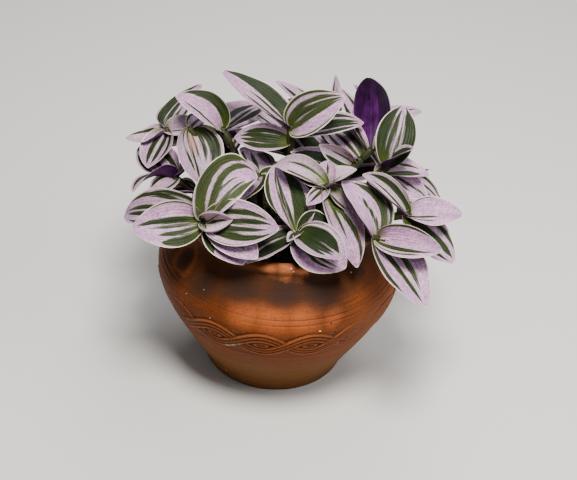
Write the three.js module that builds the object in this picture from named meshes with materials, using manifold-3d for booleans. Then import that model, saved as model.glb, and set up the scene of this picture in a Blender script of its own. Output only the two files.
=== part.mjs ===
// Potted tradescantia: a round-bellied clay pot of soil with striped, broad-leaved stems.
// Millimetres, +Z up, origin at the centre of the pot's flat foot, front of the plant towards -Y.

import * as THREE from 'three';
import { mergeVertices } from 'three/addons/utils/BufferGeometryUtils.js';
import Module from 'manifold-3d';

const wasm = await Module();
wasm.setup();

// Pot, soil and stem sizes
const pot = {
  footRadius: 48,
  footChamfer: 1.5,
  bellyRadius: 80,
  bellyHeight: 75,
  bandDepth: 1,
  neckRadius: 59.5,
  neckHeight: 107,
  lipRadius: 3.4,
  lipHeight: 111,
  wall: 6,
  floor: 8,
  sides: 32,
};
const soilHeight = 101;
const gap = 0.35;
const stemRadius = 2.2;
const holeRadius = 3;
const stemSides = 6;
const rootDepth = 10;
const budLength = 2.5;
const bladeThickness = 0.8;
const smallLeaf = 34;
const weldDistance = 0.1;

// A leaf grows at a share of its stem's length (1 is the top) and points along a heading, in
// degrees from +X towards +Y, and a rise above the horizontal. Roll turns its face about its
// own line, bow lifts the midrib and side bends it, as shares of the length. Cup is the half
// angle of its cross section in radians, clasp is added to it at the base.
const plainLeaf = { at: 1, roll: 0, bow: 0.1, side: 0, cup: 0.45, clasp: 1.1, blunt: 0.8 };
const waist = 0.55;

const stems = {
  front_left: {
    root: [-27, -24], top: [-48, -42, 131],
    leaves: [
      { heading: 200, rise: 2, length: 45, width: 31, roll: -51, bow: 0.03 },
      { at: 0.8, heading: 155, rise: -16, length: 67, width: 29, roll: -39, bow: 0.28 },
      { heading: 341, rise: 11, length: 51, width: 32, roll: 38, bow: -0.02 },
      { heading: 46, rise: 19, length: 47, width: 30, roll: 52, bow: 0.31, side: -0.39, blunt: 0.7 },
      { heading: 345, rise: 18, length: 20, width: 28, roll: 62, cup: 2, clasp: 0.8 },
      { at: 0.7, heading: 304, rise: -14, length: 36, width: 32, roll: 18, bow: 0.11 },
      { at: 0.8, heading: 317, rise: -6, length: 42, width: 26, roll: 25, bow: 0.04 },
    ],
  },
  front: {
    root: [8, -28], top: [11, -45, 128],
    leaves: [
      { heading: 108, rise: 16, length: 58, width: 33, roll: 7, bow: 0.01 },
      { heading: 318, rise: 3, length: 36, width: 24, roll: 12, bow: 0.05 },
      { heading: 242, rise: 11, length: 13, width: 7, bow: 0.19 },
      { at: 0.85, heading: 332, rise: -16, length: 37, width: 33, roll: 41, bow: 0.12 },
      { at: 0.9, heading: 6, rise: -7, length: 25, width: 32, roll: 20, bow: 0.14 },
      { at: 0.8, heading: 215, rise: -14, length: 37, width: 24, roll: 3, bow: 0.08 },
    ],
  },
  heart: {
    root: [16, -4], top: [27, -12, 143],
    leaves: [
      { heading: 91, rise: 35, length: 18, width: 15, roll: -9, bow: 0.14, cup: 0.9 },
      { heading: 17, rise: 31, length: 22, width: 18, roll: -7, bow: 0.12 },
      { heading: 154, rise: 6, length: 37, width: 19, roll: -27, bow: 0.31, cup: 0.9 },
      { heading: 178, rise: 16, length: 22, width: 14, roll: -9, bow: 0.02 },
      { heading: 243, rise: 2, length: 26, width: 11, roll: -18, bow: -0.02 },
      { at: 0.9, heading: 299, rise: -31, length: 56, width: 27, roll: -8 },
      { at: 0.95, heading: 331, rise: -27, length: 25, width: 16, roll: 2, bow: 0.08 },
    ],
  },
  right_front: {
    root: [38, -24], top: [61, -38, 124.5],
    leaves: [
      { heading: 335, rise: 10, length: 43, width: 24, roll: 46, bow: 0.15, cup: 0.8 },
      { at: 0.93, heading: 306, rise: -18, length: 57, width: 38, roll: -7, bow: 0.03 },
      { at: 0.9, heading: 128, rise: 33, length: 42, width: 35, roll: 14, bow: 0.24 },
    ],
  },
  right: {
    root: [42, -12], top: [79, -25, 135],
    leaves: [
      { heading: 356, rise: 9, length: 34, width: 24, roll: 19, bow: 0.03 },
      { at: 0.93, heading: 322, rise: -21, length: 44, width: 33, roll: 2, bow: -0.02 },
      { heading: 141, rise: 18, length: 40, width: 19, roll: -16, bow: 0.18, cup: 1.2 },
      { at: 0.85, heading: 23, rise: -25, length: 38, width: 25, roll: 2, bow: 0.18 },
    ],
  },
  right_crown: {
    root: [30, 14], top: [54, 25, 149],
    leaves: [
      { heading: 309, rise: 100, length: 51, width: 26, roll: -47, bow: 0.3 },
      { heading: 121, rise: 29, length: 50, width: 16, roll: 3, bow: 0.07 },
      { at: 0.8, heading: 138, rise: 19, length: 36, width: 27, roll: -7, bow: 0.07 },
      { at: 0.7, heading: 210, rise: 38, length: 36, width: 16, roll: -89, bow: -0.09, cup: 1 },
      { at: 0.6, heading: 194, rise: 23, length: 44, width: 22, bow: 0.06 },
    ],
  },
  right_upper: {
    root: [44, 6], top: [65, 13, 145],
    leaves: [
      { heading: 74, rise: 39, length: 44, width: 28, roll: 15, bow: 0.11 },
      { at: 0.9, heading: 340, rise: -27, length: 40, width: 25, roll: 15, bow: -0.03 },
      { heading: 334, rise: 50, length: 26, width: 20 },
      { at: 0.75, heading: 11, rise: 0, length: 36, width: 24, roll: 3, bow: 0.17 },
    ],
  },
  crown: {
    root: [2, 14], top: [2, 20, 165],
    leaves: [
      { heading: 152, rise: 24, length: 59, width: 29, roll: 2, bow: 0.03 },
      { heading: 352, rise: 41, length: 43, width: 29, roll: 52, bow: 0.18 },
      { at: 0.85, heading: 17, rise: 6, length: 49, width: 18, roll: 31, bow: 0.21 },
      { at: 0.75, heading: 170, rise: -5, length: 37, width: 20, roll: -42, bow: 0.14 },
      { at: 0.9, heading: 80, rise: 15, length: 34, width: 26 },
    ],
  },
  left_crown: {
    root: [-24, 22], top: [-43, 36, 150],
    leaves: [
      { heading: 173, rise: 33, length: 38, width: 27, roll: -18, bow: 0.24 },
      { heading: 53, rise: 4, length: 40, width: 27 },
      { at: 0.9, heading: 111, rise: -73, length: 31, width: 24, roll: 6 },
      { at: 0.65, heading: 65, rise: -7, length: 36, width: 24, roll: -21, bow: 0.22 },
    ],
  },
  left_far: {
    root: [-39, 20], top: [-81, 45, 141],
    leaves: [
      { heading: 69, rise: 10, length: 54, width: 22, roll: -3, bow: -0.18, side: -0.2 },
      { heading: 190, rise: -11, length: 28, width: 23, roll: 7, bow: -0.15 },
      { heading: 255, rise: -18, length: 34, width: 26, roll: 18, bow: -0.04 },
      { heading: 346, rise: 18, length: 27, width: 18, roll: 25 },
      { at: 0.7, heading: 137, rise: -32, length: 38, width: 25, roll: 19, bow: 0.15 },
    ],
  },
  left_upper: {
    root: [-38, 16], top: [-64, 30, 152],
    leaves: [
      { heading: 293, rise: -41, length: 38, width: 36, roll: -12, bow: 0.12 },
      { heading: 60, rise: 0, length: 26, width: 16 },
    ],
  },
  left: {
    root: [-44, 2], top: [-71, 12, 125],
    leaves: [
      { heading: 229, rise: 9, length: 37, width: 23, roll: 40, bow: 0.23 },
      { heading: 243, rise: 9, length: 30, width: 16, roll: -6, bow: 0.01 },
      { heading: 132, rise: 4, length: 42, width: 27, roll: -19, bow: 0.04 },
      { heading: 45, rise: 33, length: 17, width: 19, roll: -28, bow: -0.01 },
      { at: 0.6, heading: 159, rise: -30, length: 36, width: 24, bow: 0.15 },
    ],
  },
  back_left: {
    root: [-28, 33], top: [-46, 64, 128],
    leaves: [
      { heading: 125, rise: -20, length: 50, width: 31, bow: 0.2 },
      { heading: 60, rise: -10, length: 46, width: 28, bow: 0.15 },
      { heading: 186, rise: -4, length: 45, width: 28, roll: 4, bow: 0.15 },
      { at: 0.85, heading: 95, rise: -50, length: 46, width: 29, bow: 0.2 },
    ],
  },
  back: {
    root: [8, 36], top: [22, 54, 145],
    leaves: [
      { heading: 90, rise: -20, length: 50, width: 31, bow: 0.2 },
      { heading: 70, rise: 60, length: 38, width: 20, roll: 80 },
      { heading: 160, rise: 38, length: 45, width: 28, roll: 14, bow: 0.08 },
      { at: 0.85, heading: 74, rise: -58, length: 46, width: 29, bow: 0.2 },
      { at: 0.65, heading: 129, rise: -3, length: 68, width: 23, roll: -30, bow: 0.29 },
    ],
  },
  back_right: {
    root: [30, 31], top: [52, 60, 135],
    leaves: [
      { heading: 60, rise: -20, length: 50, width: 31, bow: 0.2 },
      { heading: 13, rise: 29, length: 44, width: 28, bow: 0.15 },
      { heading: 197, rise: 75, length: 46, width: 28, bow: 0.15 },
      { at: 0.85, heading: 90, rise: -50, length: 46, width: 29, roll: 9, bow: 0.2 },
    ],
  },
  right_low: {
    root: [36, 16], top: [73, 25, 126],
    leaves: [
      { heading: 5, rise: -36, length: 46, width: 30, bow: 0.2 },
      { heading: 60, rise: -15, length: 44, width: 28, bow: 0.15 },
      { heading: 108, rise: 4, length: 40, width: 26, bow: 0.2 },
      { at: 0.85, heading: 325, rise: -35, length: 38, width: 25, bow: 0.15 },
    ],
  },
  inner_left: {
    root: [-14, 0], top: [-17, 8, 134],
    leaves: [
      { heading: 106, rise: 7, length: 30, width: 26, roll: 17 },
      { heading: 338, rise: -8, length: 30, width: 22, roll: 8, bow: 0.09 },
      { heading: 250, rise: 0, length: 34, width: 22 },
      { at: 0.9, heading: 181, rise: 6, length: 33, width: 24, roll: -9, bow: 0.06 },
    ],
  },
  inner_right: {
    root: [24, 22], top: [24, 24, 130],
    leaves: [
      { heading: 139, rise: 26, length: 42, width: 27, bow: 0.13 },
      { heading: 34, rise: -8, length: 49, width: 23, roll: 44, bow: 0.09 },
      { heading: 170, rise: 13, length: 45, width: 22, roll: 11, bow: 0.12 },
    ],
  },
};

const clay = new THREE.MeshStandardMaterial({ color: 0x8f4a2e, roughness: 0.75, metalness: 0 });
const earth = new THREE.MeshStandardMaterial({ color: 0x241810, roughness: 0.95, metalness: 0 });
const foliage = new THREE.MeshStandardMaterial({ color: 0x8f8796, roughness: 0.5, metalness: 0 });

// Solids are joined and cut as closed meshes with shared vertices
function solidFromMesh(vertProperties, triVerts) {
  return new wasm.Manifold(new wasm.Mesh({ numProp: 3, vertProperties, triVerts }));
}

function solidFromGeometry(geometry) {
  geometry.deleteAttribute('normal');
  geometry.deleteAttribute('uv');
  const merged = mergeVertices(geometry, 1e-4);
  return solidFromMesh(merged.getAttribute('position').array, merged.index.array);
}

function geometryFromSolid(solid) {
  const mesh = solid.getMesh();
  const geometry = new THREE.BufferGeometry();
  geometry.setAttribute('position', new THREE.BufferAttribute(mesh.vertProperties, 3));
  geometry.setIndex(new THREE.BufferAttribute(mesh.triVerts, 1));
  geometry.computeVertexNormals();
  return geometry;
}

// Outlines turned about +Z: the first coordinate is the radius, the second the height
function turned(outline) {
  const geometry = new THREE.LatheGeometry(outline, pot.sides);
  geometry.rotateX(Math.PI / 2);
  return geometry;
}

function soilPocket() {
  const pocket = new THREE.Path();
  pocket.moveTo(pot.neckRadius - 2, soilHeight);
  pocket.bezierCurveTo(
    pot.neckRadius + 4, soilHeight - 7,
    pot.bellyRadius - pot.wall, pot.bellyHeight + 12,
    pot.bellyRadius - pot.wall, pot.bellyHeight,
  );
  pocket.bezierCurveTo(
    pot.bellyRadius - pot.wall, 52,
    pot.footRadius - 3, 22,
    pot.footRadius - pot.wall, pot.floor,
  );
  return pocket.getPoints(4);
}

// Foot, flaring belly with the raised band of its braid, shoulder that draws in to a hollow neck,
// rolled lip, then the inside
function makePot() {
  const belly = new THREE.CubicBezierCurve(
    new THREE.Vector2(pot.footRadius, pot.footChamfer),
    new THREE.Vector2(50.5, 15),
    new THREE.Vector2(pot.bellyRadius, 52),
    new THREE.Vector2(pot.bellyRadius, pot.bellyHeight),
  );
  const band = [0.745, 0.86, 0.985].map((t) => belly.getPoint(t));
  band.forEach((point) => { point.x += pot.bandDepth; });
  const shoulder = new THREE.Path();
  shoulder.moveTo(pot.bellyRadius, pot.bellyHeight);
  shoulder.bezierCurveTo(pot.bellyRadius, 89, 66, 94, pot.neckRadius, pot.neckHeight);
  shoulder.absarc(pot.neckRadius - 1.5, pot.lipHeight, pot.lipRadius, -Math.PI / 3, Math.PI, false);
  const outline = [
    new THREE.Vector2(0, 0),
    new THREE.Vector2(pot.footRadius - pot.footChamfer, 0),
    ...[0, 0.2, 0.4, 0.6, 0.73].map((t) => belly.getPoint(t)),
    ...band,
    ...shoulder.getPoints(5),
    ...soilPocket(),
    new THREE.Vector2(0, pot.floor),
  ];
  return solidFromGeometry(turned(outline));
}

// Soil fills the pot's inside and has a straight hole for each stem's root
function makeSoil() {
  const side = soilPocket().map((point) => new THREE.Vector2(point.x - gap, point.y));
  side[side.length - 1].y += gap;
  const outline = [
    new THREE.Vector2(0, pot.floor + gap),
    ...side.reverse(),
    new THREE.Vector2(0, soilHeight),
  ];
  let soil = solidFromGeometry(turned(outline));
  for (const stem of Object.values(stems)) {
    const hole = new THREE.CylinderGeometry(holeRadius, holeRadius, 2 * rootDepth, 8);
    hole.rotateX(Math.PI / 2);
    hole.translate(stem.root[0], stem.root[1], soilHeight - gap);
    soil = soil.subtract(solidFromGeometry(hole));
  }
  return soil;
}

// A stem rises straight from the soil and leans out to its top
function stemCurve(stem) {
  const foot = new THREE.Vector3(stem.root[0], stem.root[1], soilHeight);
  const top = new THREE.Vector3(...stem.top);
  const height = top.z - foot.z;
  const straight = foot.clone();
  straight.z += 0.5 * height;
  const lean = foot.clone().lerp(top, 0.65);
  lean.z = foot.z + 0.85 * height;
  return new THREE.CubicBezierCurve3(foot, straight, lean, top);
}

function stemSolid(stem) {
  const curve = stemCurve(stem);
  const foot = curve.getPoint(0);
  const bottom = foot.clone();
  bottom.z -= rootDepth;
  const bud = curve.getPoint(1).addScaledVector(curve.getTangent(1), budLength);
  const path = new THREE.CurvePath();
  path.add(new THREE.LineCurve3(bottom, foot));
  path.add(curve);
  path.add(new THREE.LineCurve3(curve.getPoint(1), bud));
  const section = new THREE.Shape();
  for (let side = 0; side < stemSides; side += 1) {
    const angle = (2 * Math.PI * side) / stemSides;
    const corner = [stemRadius * Math.cos(angle), stemRadius * Math.sin(angle)];
    if (side === 0) section.moveTo(...corner);
    else section.lineTo(...corner);
  }
  return solidFromGeometry(
    new THREE.ExtrudeGeometry(section, { steps: 7, extrudePath: path, bevelEnabled: false }),
  );
}

// The leaf's own axes: along its line, out of its upper face, and to its right
function leafAxes(leaf) {
  const heading = THREE.MathUtils.degToRad(leaf.heading);
  const rise = THREE.MathUtils.degToRad(leaf.rise);
  const line = new THREE.Vector3(
    Math.cos(heading) * Math.cos(rise),
    Math.sin(heading) * Math.cos(rise),
    Math.sin(rise),
  );
  const right = new THREE.Vector3(Math.sin(heading), -Math.cos(heading), 0);
  const face = right.clone().cross(line);
  const roll = THREE.MathUtils.degToRad(leaf.roll);
  face.applyAxisAngle(line, roll);
  right.applyAxisAngle(line, roll);
  return { line, face, right };
}

// Point of a leaf's middle surface: u runs from its left edge -1 to its right edge 1, v from its
// base to its tip. The midrib is a cubic curve, and each cross section is an arc that cups
// towards the upper face. The half width follows v^waist (1 - v)^blunt.
function bladePoint(leaf, axes, midrib, u, v) {
  const middle = midrib.getPoint(v);
  const tangent = midrib.getTangent(v);
  const across = axes.right.clone().addScaledVector(tangent, -tangent.dot(axes.right)).normalize();
  const up = across.clone().cross(tangent);
  const peak = waist / (waist + leaf.blunt);
  const widest = peak ** waist * (1 - peak) ** leaf.blunt;
  const outline = (v ** waist * (1 - v) ** leaf.blunt) / widest;
  const half = 0.5 * leaf.width * outline + 1.5 * (1 - v) ** 8 + 0.25;
  const bend = leaf.cup + leaf.clasp * (1 - v) ** 3;
  return middle
    .addScaledVector(across, (half * Math.sin(bend * u)) / bend)
    .addScaledVector(up, (half * (1 - Math.cos(bend * u))) / bend);
}

// Blade as two like-split skins, half a thickness above and below the middle surface, with a rim
function leafSolid(leafSizes, base) {
  const leaf = { ...plainLeaf, ...leafSizes };
  const axes = leafAxes(leaf);
  const size = leaf.length;
  const lift = (share, bow) => base.clone()
    .addScaledVector(axes.line, share * size)
    .addScaledVector(axes.face, bow * size)
    .addScaledVector(axes.right, leaf.side * size);
  const tip = base.clone().addScaledVector(axes.line, size);
  const midrib = new THREE.CubicBezierCurve3(base, lift(1 / 3, leaf.bow), lift(2 / 3, leaf.bow), tip);
  const across = size < smallLeaf ? 2 : 3;
  const along = size < smallLeaf ? 4 : 5;
  const upper = [];
  const lower = [];
  for (let row = 0; row <= along; row += 1) {
    const v = 0.5 - 0.5 * Math.cos((Math.PI * row) / along);
    for (let column = 0; column <= across; column += 1) {
      const u = -1 + (2 * column) / across;
      const step = 0.01;
      const spot = bladePoint(leaf, axes, midrib, u, v);
      const alongStep = v > 0.5
        ? spot.clone().sub(bladePoint(leaf, axes, midrib, u, v - step))
        : bladePoint(leaf, axes, midrib, u, v + step).sub(spot);
      const acrossStep = bladePoint(leaf, axes, midrib, u + step, v)
        .sub(bladePoint(leaf, axes, midrib, u - step, v));
      const normal = acrossStep.cross(alongStep).setLength(0.5 * bladeThickness);
      upper.push(...spot.clone().add(normal).toArray());
      lower.push(...spot.clone().sub(normal).toArray());
    }
  }
  const columns = across + 1;
  const count = columns * (along + 1);
  const faces = [];
  for (let row = 0; row < along; row += 1) {
    for (let column = 0; column < across; column += 1) {
      const a = row * columns + column;
      const b = a + 1;
      const c = b + columns;
      const d = a + columns;
      faces.push(a, b, c, a, c, d);
      faces.push(count + a, count + c, count + b, count + a, count + d, count + c);
    }
  }
  const rim = [];
  for (let column = 0; column < across; column += 1) rim.push(column);
  for (let row = 0; row < along; row += 1) rim.push(row * columns + across);
  for (let column = across; column > 0; column -= 1) rim.push(along * columns + column);
  for (let row = along; row > 0; row -= 1) rim.push(row * columns);
  rim.forEach((a, index) => {
    const b = rim[(index + 1) % rim.length];
    faces.push(a, count + a, count + b, a, count + b, b);
  });
  return solidFromMesh(new Float32Array([...upper, ...lower]), new Uint32Array(faces));
}

// One leafy stem grew as one piece: its leaves are joined to it, and a pocket that clasping leaf
// bases close in is filled
function leafyStem(stem) {
  const curve = stemCurve(stem);
  let solid = stemSolid(stem);
  for (const leaf of stem.leaves) {
    const base = curve.getPoint(leaf.at ?? plainLeaf.at);
    solid = solid.add(leafSolid(leaf, base));
  }
  const [body] = solid.decompose().sort((one, other) => other.volume() - one.volume());
  return body.simplify(weldDistance);
}

function addPiece(group, name, solid, material) {
  const mesh = new THREE.Mesh(geometryFromSolid(solid), material);
  mesh.name = name;
  group.add(mesh);
}

const plant = new THREE.Group();
addPiece(plant, 'pot', makePot(), clay);
addPiece(plant, 'soil', makeSoil(), earth);
for (const [place, stem] of Object.entries(stems)) {
  addPiece(plant, `stem_${place}`, leafyStem(stem), foliage);
}

export default plant;
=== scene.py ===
import bpy
import numpy as np
from mathutils import Matrix, Vector


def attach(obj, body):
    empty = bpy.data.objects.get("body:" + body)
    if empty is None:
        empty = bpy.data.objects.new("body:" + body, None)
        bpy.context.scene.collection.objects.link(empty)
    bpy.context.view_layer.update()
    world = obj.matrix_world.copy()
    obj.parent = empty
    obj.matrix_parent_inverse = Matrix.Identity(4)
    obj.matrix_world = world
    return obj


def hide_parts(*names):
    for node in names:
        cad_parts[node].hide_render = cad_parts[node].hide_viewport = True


# Potted tradescantia: leafy stems with striped leaves in a round-bellied clay pot.
# Shapes are worked out in millimetres and degrees, and turned into metres as a mesh is made.

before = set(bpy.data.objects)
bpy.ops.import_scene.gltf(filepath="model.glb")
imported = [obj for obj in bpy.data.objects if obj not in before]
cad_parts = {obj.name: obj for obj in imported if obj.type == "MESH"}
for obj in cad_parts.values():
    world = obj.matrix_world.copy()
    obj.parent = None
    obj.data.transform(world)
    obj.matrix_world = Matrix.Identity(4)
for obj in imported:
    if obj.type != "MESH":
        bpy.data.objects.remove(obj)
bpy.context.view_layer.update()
mm = 0.001
print("frame loaded")


def addObject(name, data):
    made = bpy.data.objects.new(name, data)
    bpy.context.scene.collection.objects.link(made)
    return made


# Camera, floor and lights

viewpoint = {
    "target": (5.5, 0.0, 91.0),
    "distance": 860.0,
    "elevation": 36.0,
    "roll": 4.2,
    "focalPixels": 1300.0,
    "imageWidth": 577.0,
    "sensor": 36.0,
    "nearest": 10.0,
}


def makeCamera():
    tilt, roll = np.radians([viewpoint["elevation"], viewpoint["roll"]])
    forward = Vector((0, np.cos(tilt), -np.sin(tilt)))
    right = Vector((1, 0, 0))
    up = Vector((0, np.sin(tilt), np.cos(tilt)))
    rolledRight = right * np.cos(roll) + up * np.sin(roll)
    rolledUp = up * np.cos(roll) - right * np.sin(roll)
    camera = bpy.data.cameras.new("camera")
    camera.sensor_width = viewpoint["sensor"]
    camera.lens = viewpoint["sensor"] * viewpoint["focalPixels"] / viewpoint["imageWidth"]
    camera.clip_start = viewpoint["nearest"] * mm
    holder = addObject("camera", camera)
    spot = (Vector(viewpoint["target"]) - forward * viewpoint["distance"]) * mm
    axes = Matrix((rolledRight, rolledUp, -forward)).transposed()
    holder.matrix_world = Matrix.Translation(spot) @ axes.to_4x4()
    bpy.context.scene.camera = holder


floorLook = {"reach": 6000.0, "colour": (0.72, 0.70, 0.66, 1), "roughness": 0.8}

# Each light: place and size in millimetres, watts, colour
studioLights = {
    "keyLight": ((60.0, -330.0, 1040.0), 380.0, 19.0, (1.0, 0.97, 0.93)),
    "fillLight": ((760.0, -200.0, 560.0), 620.0, 4.0, (0.97, 0.97, 1.0)),
    "backLight": ((120.0, 760.0, 900.0), 560.0, 6.0, (0.96, 0.98, 1.0)),
}
skyLook = {"colour": (0.86, 0.90, 0.96, 1), "strength": 0.2}


def makeFloor():
    reach = floorLook["reach"] * mm
    mesh = bpy.data.meshes.new("studioFloor")
    corners = [(-reach, -reach, 0), (reach, -reach, 0), (reach, reach, 0), (-reach, reach, 0)]
    mesh.from_pydata(corners, [], [(0, 1, 2, 3)])
    material = bpy.data.materials.new("paleFloor")
    material.use_nodes = True
    shader = material.node_tree.nodes["Principled BSDF"]
    shader.inputs["Base Color"].default_value = floorLook["colour"]
    shader.inputs["Roughness"].default_value = floorLook["roughness"]
    mesh.materials.append(material)
    floor = addObject("studioFloor", mesh)


def makeLights():
    for name, (place, size, watts, colour) in studioLights.items():
        lamp = bpy.data.lights.new(name, "AREA")
        lamp.shape = "DISK"
        lamp.size = size * mm
        lamp.energy = watts
        lamp.color = colour
        holder = addObject(name, lamp)
        holder.location = Vector(place) * mm
        aim = Vector(viewpoint["target"]) * mm - holder.location
        holder.rotation_euler = aim.to_track_quat("-Z", "Y").to_euler()
    world = bpy.data.worlds.new("softSky")
    world.use_nodes = True
    sky = world.node_tree.nodes["Background"]
    sky.inputs["Color"].default_value = skyLook["colour"]
    sky.inputs["Strength"].default_value = skyLook["strength"]
    bpy.context.scene.world = world


makeCamera()
makeFloor()
makeLights()
print("camera, floor and lights ready")


# Meshes from grids

def closedShell(points, fields, kinds=0):
    # A tube of rings with a lid on each end, turned so that its faces point outwards: its signed
    # volume, the sum of a . (b x c) over its triangles, is made positive. points is rows x ring x 3,
    # fields are spread over its rows and ring, and kinds is the faces' material, or one by column
    rows, ring = points.shape[:2]
    start = np.arange(rows - 1)[:, None] * ring
    column = np.arange(ring)
    beside = (column + 1) % ring
    quads = np.stack([start + column, start + beside, start + ring + beside, start + ring + column], -1)
    kinds = np.broadcast_to(kinds, quads.shape[:2])
    quads = quads.reshape(-1, 4)
    flat = points.reshape(-1, 3)
    lids = [column[::-1], (rows - 1) * ring + column]
    corner = flat - flat.mean(0)
    volume = 0.0
    for a, b, c in ((0, 1, 2), (0, 2, 3)):
        cross = np.cross(corner[quads[:, b]], corner[quads[:, c]])
        volume += (corner[quads[:, a]] * cross).sum()
    if volume < 0:
        quads = quads[:, ::-1]
        lids = [lid[::-1] for lid in lids]
    return {
        "points": flat,
        "quads": quads,
        "lids": lids,
        "kinds": np.append(kinds, [kinds[0, 0]] * len(lids)),
        "fields": {key: np.broadcast_to(each, (rows, ring)).reshape(-1) for key, each in fields.items()},
    }


def makePiece(name, shells, materials, sharpAngle):
    # joins the shells in one mesh, each field becoming an attribute of its points
    points = np.concatenate([shell["points"] for shell in shells]) * mm
    faces = []
    first = 0
    for shell in shells:
        faces += (shell["quads"] + first).tolist()
        faces += [(lid + first).tolist() for lid in shell["lids"]]
        first += len(shell["points"])
    mesh = bpy.data.meshes.new(name)
    mesh.from_pydata(points.tolist(), [], faces)
    for material in materials:
        mesh.materials.append(material)
    kinds = np.concatenate([shell["kinds"] for shell in shells])
    mesh.polygons.foreach_set("material_index", kinds.astype(np.int32))
    for key in shells[0]["fields"]:
        values = np.concatenate([shell["fields"][key] for shell in shells])
        mesh.attributes.new(key, "FLOAT", "POINT").data.foreach_set("value", values.astype(np.float32))
    mesh.polygons.foreach_set("use_smooth", np.ones(len(mesh.polygons), bool))
    mesh.set_sharp_from_angle(angle=np.radians(sharpAngle))
    mesh.update()
    return addObject(name, mesh)


def unit(vectors):
    return vectors / np.linalg.norm(vectors, axis=-1, keepdims=True)


def turns(count):
    # angles in equal steps once round, without the last
    return np.linspace(0, 2 * np.pi, count, endpoint=False)


def direction(heading, rise):
    # unit vector at a heading from +X towards +Y and a rise above the horizontal, both in radians
    return np.array([np.cos(heading) * np.cos(rise), np.sin(heading) * np.cos(rise), np.sin(rise)])


def smoothNoise(x, y, cell, seed):
    # random heights from -1 to 1 on a lattice of the given cell, eased between its corners
    heights = np.random.default_rng(seed).uniform(-1, 1, (64, 64))
    gx, gy = np.asarray(x) / cell, np.asarray(y) / cell
    ix, iy = np.floor(gx).astype(int), np.floor(gy).astype(int)
    fx, fy = gx - ix, gy - iy
    fx, fy = fx * fx * (3 - 2 * fx), fy * fy * (3 - 2 * fy)
    near = heights[ix % 64, iy % 64] * (1 - fx) + heights[(ix + 1) % 64, iy % 64] * fx
    far = heights[ix % 64, (iy + 1) % 64] * (1 - fx) + heights[(ix + 1) % 64, (iy + 1) % 64] * fx
    return near * (1 - fy) + far * fy


def bezier(first, second, third, last, t):
    # cubic curve through first and last, pulled towards second and third
    t = np.asarray(t, float)[..., None]
    first, second, third, last = (np.asarray(p, float) for p in (first, second, third, last))
    s = 1 - t
    return s ** 3 * first + 3 * s ** 2 * t * second + 3 * s * t ** 2 * third + t ** 3 * last


# Material nodes: a socket's id_data is the node tree that it belongs to

def newMaterial(name):
    material = bpy.data.materials.new(name)
    material.use_nodes = True
    return material, material.node_tree


def addNode(tree, kind, values, **settings):
    made = tree.nodes.new("ShaderNode" + kind)
    for key, value in settings.items():
        setattr(made, key, value)
    for key, value in values.items():
        if isinstance(value, bpy.types.NodeSocket):
            tree.links.new(value, made.inputs[key])
        else:
            made.inputs[key].default_value = value
    return made


def maths(operation, first, second=0.0, clamp=False):
    sockets = {0: first, 1: second}
    return addNode(first.id_data, "Math", sockets, operation=operation, use_clamp=clamp).outputs[0]


def times(first, second):
    return maths("MULTIPLY", first, second)


def plus(first, second):
    return maths("ADD", first, second)


def aboutZero(noise, size):
    # noise that goes from 0 to 1 now goes half the size below zero and above it
    return times(maths("SUBTRACT", noise, 0.5), size)


def ease(value, low, high, toLow=0.0, toHigh=1.0):
    # eases from toLow to toHigh as the value goes from low to high
    sockets = {"Value": value, "From Min": low, "From Max": high, "To Min": toLow, "To Max": toHigh}
    return addNode(value.id_data, "MapRange", sockets, interpolation_type="SMOOTHSTEP").outputs[0]


def mixed(amount, first, second, way="MIX"):
    # each colour is a socket or three numbers
    below, above = (c if isinstance(c, bpy.types.NodeSocket) else (*c, 1) for c in (first, second))
    sockets = {"Factor": amount, 6: below, 7: above}
    return addNode(amount.id_data, "Mix", sockets, data_type="RGBA", blend_type=way).outputs[2]


def coats(colour, paints, layers):
    # lays coats over a colour. A coat is what it follows, how strong it is and the name of its paint.
    # With two numbers before its strength, it begins to show at the first and is full at the second
    for value, *span, strength, paint in layers:
        amount = ease(value, *span, 0.0, strength) if span else times(value, strength)
        colour = mixed(amount, colour, paints[paint])
    return colour


def grain(vector, scale, detail, roughness):
    sockets = {"Vector": vector, "Scale": scale, "Detail": detail, "Roughness": roughness}
    return addNode(vector.id_data, "TexNoise", sockets).outputs["Fac"]


def field(tree, name):
    return addNode(tree, "Attribute", {}, attribute_name=name).outputs["Fac"]


def objectPlace(tree):
    return addNode(tree, "TexCoord", {}).outputs["Object"]


def finished(material, colour, roughness, height, bump, gloss):
    # joins the colour, the roughness and a bump of the given strength and distance to the shader
    tree = material.node_tree
    shader = tree.nodes["Principled BSDF"]
    sockets = {"Height": height, "Strength": bump[0], "Distance": bump[1]}
    normal = addNode(tree, "Bump", sockets).outputs[0]
    for key, value in (("Base Color", colour), ("Roughness", roughness), ("Normal", normal)):
        tree.links.new(value, shader.inputs[key])
    shader.inputs["Specular IOR Level"].default_value = gloss
    return material


# Pot: one turned clay surface with grooves and a raised braid

# Pulls are the two middle points of a cubic curve, as radius and height
potShape = {
    "footRadius": 48.0,
    "footRound": 1.5,
    "bellyPulls": ((50.5, 15.0), (80.0, 52.0)),
    "bellyRadius": 80.0,
    "bellyHeight": 75.0,
    "shoulderPulls": ((80.0, 89.0), (66.0, 94.0)),
    "neckRadius": 59.5,
    "neckHeight": 107.0,
    "lipRadius": 3.4,
    "lipHeight": 111.0,
    "lipInset": 1.5,
    "top": 114.0,
    "mouthRadius": 57.5,
    "pocketPulls": ((63.5, 94.0), (74.0, 87.0)),
    "pocketLowPulls": ((74.0, 52.0), (45.0, 22.0)),
    "wall": 6.0,
    "floor": 8.0,
    "lidRadius": 2.0,
    "reliefRadius": 44.0,
    "sway": 0.0025,
}
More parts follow.
